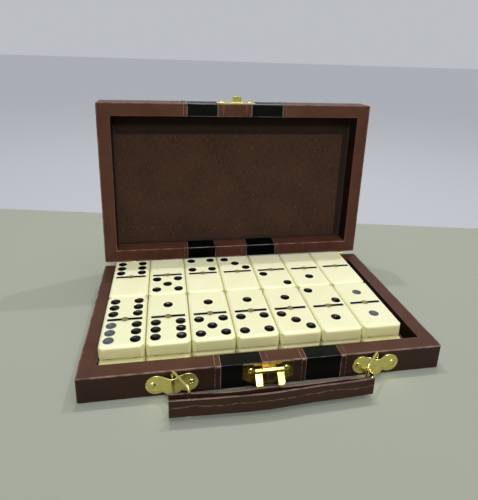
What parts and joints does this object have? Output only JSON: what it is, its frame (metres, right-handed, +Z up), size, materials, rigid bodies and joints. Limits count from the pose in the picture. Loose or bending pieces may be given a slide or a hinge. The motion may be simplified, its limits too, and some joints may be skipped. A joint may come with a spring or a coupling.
{
  "type": "domino storage box",
  "caption": "Shallow leatherette case with a hinged lid, bail catch and strap handle on wire rings, holding a set of domino tiles in two stacked layers.",
  "frame": {"origin": "centre of the base's underside, on the surface it rests on", "axes": "+X along the long side to the viewer's right, +Y from the catch to the hinges, +Z up"},
  "size_m": [0.205, 0.1607, 0.145],
  "materials": {
    "brown_leatherette": "semi-gloss grained leatherette",
    "black_leatherette": "semi-gloss grained leatherette",
    "fibreboard": "raw board",
    "lining_fabric": "woven",
    "brass": "polished plating",
    "card": "raw card",
    "tile_ivory": "glossy moulded plastic"
  },
  "bodies": {
    "base": {"base_cover_ends": "brown_leatherette", "base_cover_centre": "brown_leatherette", "base_bottom_sheet": "brown_leatherette", "base_bands": "black_leatherette", "base_long_boards": "fibreboard", "base_end_boards": "fibreboard", "base_floor_board": "fibreboard", "base_lining": "lining_fabric", "catch_plate": "brass", "catch_screws": "brass", "handle_bracket_left": "brass", "handle_bracket_right": "brass", "bracket_screws": "brass", "hinge_base_leaves": "brass", "hinge_pins": "brass", "hinge_base_screws": "brass"},
    "lid": {"lid_long_boards": "fibreboard", "lid_end_boards": "fibreboard", "lid_top_board": "fibreboard", "lid_cover_ends": "brown_leatherette", "lid_cover_centre": "brown_leatherette", "lid_bands": "black_leatherette", "lid_lining": "lining_fabric", "keeper_plate": "brass", "keeper_screws": "brass", "hinge_lid_leaves": "brass", "hinge_lid_screws": "brass"},
    "bail": {"catch_bail": "brass"},
    "ring_left": {"handle_ring_left": "brass"},
    "ring_right": {"handle_ring_right": "brass"},
    "handle": {"handle_strap": "brown_leatherette", "handle_core": "card"},
    "tile_0_6": {"tile_0_6": "tile_ivory"},
    "tile_0_5": {"tile_0_5": "tile_ivory"},
    "tile_0_4": {"tile_0_4": "tile_ivory"},
    "tile_0_3": {"tile_0_3": "tile_ivory"},
    "tile_0_2": {"tile_0_2": "tile_ivory"},
    "tile_0_1": {"tile_0_1": "tile_ivory"},
    "tile_0_0": {"tile_0_0": "tile_ivory"},
    "tile_6_6": {"tile_6_6": "tile_ivory"},
    "tile_1_6": {"tile_1_6": "tile_ivory"},
    "tile_1_5": {"tile_1_5": "tile_ivory"},
    "tile_1_4": {"tile_1_4": "tile_ivory"},
    "tile_1_3": {"tile_1_3": "tile_ivory"},
    "tile_1_2": {"tile_1_2": "tile_ivory"},
    "tile_1_1": {"tile_1_1": "tile_ivory"},
    "tile_2_2": {"tile_2_2": "tile_ivory"},
    "tile_2_3": {"tile_2_3": "tile_ivory"},
    "tile_2_4": {"tile_2_4": "tile_ivory"},
    "tile_2_5": {"tile_2_5": "tile_ivory"},
    "tile_2_6": {"tile_2_6": "tile_ivory"},
    "tile_3_3": {"tile_3_3": "tile_ivory"},
    "tile_3_4": {"tile_3_4": "tile_ivory"},
    "tile_3_5": {"tile_3_5": "tile_ivory"},
    "tile_3_6": {"tile_3_6": "tile_ivory"},
    "tile_4_4": {"tile_4_4": "tile_ivory"},
    "tile_4_5": {"tile_4_5": "tile_ivory"},
    "tile_4_6": {"tile_4_6": "tile_ivory"},
    "tile_5_5": {"tile_5_5": "tile_ivory"},
    "tile_5_6": {"tile_5_6": "tile_ivory"}
  },
  "joints": [
    {"name": "lid_hinge", "type": "hinge", "parent": "base", "child": "lid", "pos_m": [0, 0.0632, 0.01515], "axis": [-1, 0, 0], "range_deg": [-90, 0]},
    {"name": "bail_swing", "type": "hinge", "parent": "base", "child": "bail", "pos_m": [-0.0019, -0.0644, 0.012], "axis": [-1, 0, 0], "range_deg": [0, 138]},
    {"name": "ring_right_turn", "type": "hinge", "parent": "base", "child": "ring_right", "pos_m": [0.0612, -0.06295, 0.0074], "axis": [0, 0, 1], "range_deg": [-15, 15]},
    {"name": "ring_left_turn", "type": "hinge", "parent": "base", "child": "ring_left", "pos_m": [-0.0538, -0.06295, 0.0074], "axis": [0, 0, 1], "range_deg": [-11.5, 11.5]},
    {"name": "handle_turn", "type": "hinge", "parent": "ring_right", "child": "handle", "pos_m": [0.04989, -0.07398, 0.0025], "axis": [0, 0, 1], "range_deg": [-17.8, 17.8]},
    {"name": "tile_2_2_lift", "type": "slide", "parent": "base", "child": "tile_2_2", "axis": [0, 0, 1], "range_m": [0, 0.025]},
    {"name": "tile_2_3_lift", "type": "slide", "parent": "base", "child": "tile_2_3", "axis": [0, 0, 1], "range_m": [0, 0.025]},
    {"name": "tile_2_4_lift", "type": "slide", "parent": "base", "child": "tile_2_4", "axis": [0, 0, 1], "range_m": [0, 0.025]},
    {"name": "tile_2_5_lift", "type": "slide", "parent": "base", "child": "tile_2_5", "axis": [0, 0, 1], "range_m": [0, 0.025]},
    {"name": "tile_2_6_lift", "type": "slide", "parent": "base", "child": "tile_2_6", "axis": [0, 0, 1], "range_m": [0, 0.025]},
    {"name": "tile_3_3_lift", "type": "slide", "parent": "base", "child": "tile_3_3", "axis": [0, 0, 1], "range_m": [0, 0.025]},
    {"name": "tile_3_4_lift", "type": "slide", "parent": "base", "child": "tile_3_4", "axis": [0, 0, 1], "range_m": [0, 0.025]},
    {"name": "tile_3_5_lift", "type": "slide", "parent": "base", "child": "tile_3_5", "axis": [0, 0, 1], "range_m": [0, 0.025]},
    {"name": "tile_3_6_lift", "type": "slide", "parent": "base", "child": "tile_3_6", "axis": [0, 0, 1], "range_m": [0, 0.025]},
    {"name": "tile_4_4_lift", "type": "slide", "parent": "base", "child": "tile_4_4", "axis": [0, 0, 1], "range_m": [0, 0.025]},
    {"name": "tile_4_5_lift", "type": "slide", "parent": "base", "child": "tile_4_5", "axis": [0, 0, 1], "range_m": [0, 0.025]},
    {"name": "tile_4_6_lift", "type": "slide", "parent": "base", "child": "tile_4_6", "axis": [0, 0, 1], "range_m": [0, 0.025]},
    {"name": "tile_5_5_lift", "type": "slide", "parent": "base", "child": "tile_5_5", "axis": [0, 0, 1], "range_m": [0, 0.025]},
    {"name": "tile_5_6_lift", "type": "slide", "parent": "base", "child": "tile_5_6", "axis": [0, 0, 1], "range_m": [0, 0.025]},
    {"name": "tile_0_6_lift", "type": "slide", "parent": "tile_2_2", "child": "tile_0_6", "axis": [0, 0, 1], "range_m": [0, 0.025]},
    {"name": "tile_0_5_lift", "type": "slide", "parent": "tile_2_3", "child": "tile_0_5", "axis": [0, 0, 1], "range_m": [0, 0.025]},
    {"name": "tile_0_4_lift", "type": "slide", "parent": "tile_2_4", "child": "tile_0_4", "axis": [0, 0, 1], "range_m": [0, 0.025]},
    {"name": "tile_0_3_lift", "type": "slide", "parent": "tile_2_5", "child": "tile_0_3", "axis": [0, 0, 1], "range_m": [0, 0.025]},
    {"name": "tile_0_2_lift", "type": "slide", "parent": "tile_2_6", "child": "tile_0_2", "axis": [0, 0, 1], "range_m": [0, 0.025]},
    {"name": "tile_0_1_lift", "type": "slide", "parent": "tile_3_3", "child": "tile_0_1", "axis": [0, 0, 1], "range_m": [0, 0.025]},
    {"name": "tile_0_0_lift", "type": "slide", "parent": "tile_3_4", "child": "tile_0_0", "axis": [0, 0, 1], "range_m": [0, 0.025]},
    {"name": "tile_6_6_lift", "type": "slide", "parent": "tile_3_5", "child": "tile_6_6", "axis": [0, 0, 1], "range_m": [0, 0.025]},
    {"name": "tile_1_6_lift", "type": "slide", "parent": "tile_3_6", "child": "tile_1_6", "axis": [0, 0, 1], "range_m": [0, 0.025]},
    {"name": "tile_1_5_lift", "type": "slide", "parent": "tile_4_4", "child": "tile_1_5", "axis": [0, 0, 1], "range_m": [0, 0.025]},
    {"name": "tile_1_4_lift", "type": "slide", "parent": "tile_4_5", "child": "tile_1_4", "axis": [0, 0, 1], "range_m": [0, 0.025]},
    {"name": "tile_1_3_lift", "type": "slide", "parent": "tile_4_6", "child": "tile_1_3", "axis": [0, 0, 1], "range_m": [0, 0.025]},
    {"name": "tile_1_2_lift", "type": "slide", "parent": "tile_5_5", "child": "tile_1_2", "axis": [0, 0, 1], "range_m": [0, 0.025]},
    {"name": "tile_1_1_lift", "type": "slide", "parent": "tile_5_6", "child": "tile_1_1", "axis": [0, 0, 1], "range_m": [0, 0.025]}
  ],
  "couplings": [
    {"joint": "ring_left_turn", "follows": "ring_right_turn", "ratio": 0.764},
    {"joint": "handle_turn", "follows": "ring_right_turn", "ratio": -1.181}
  ]
}
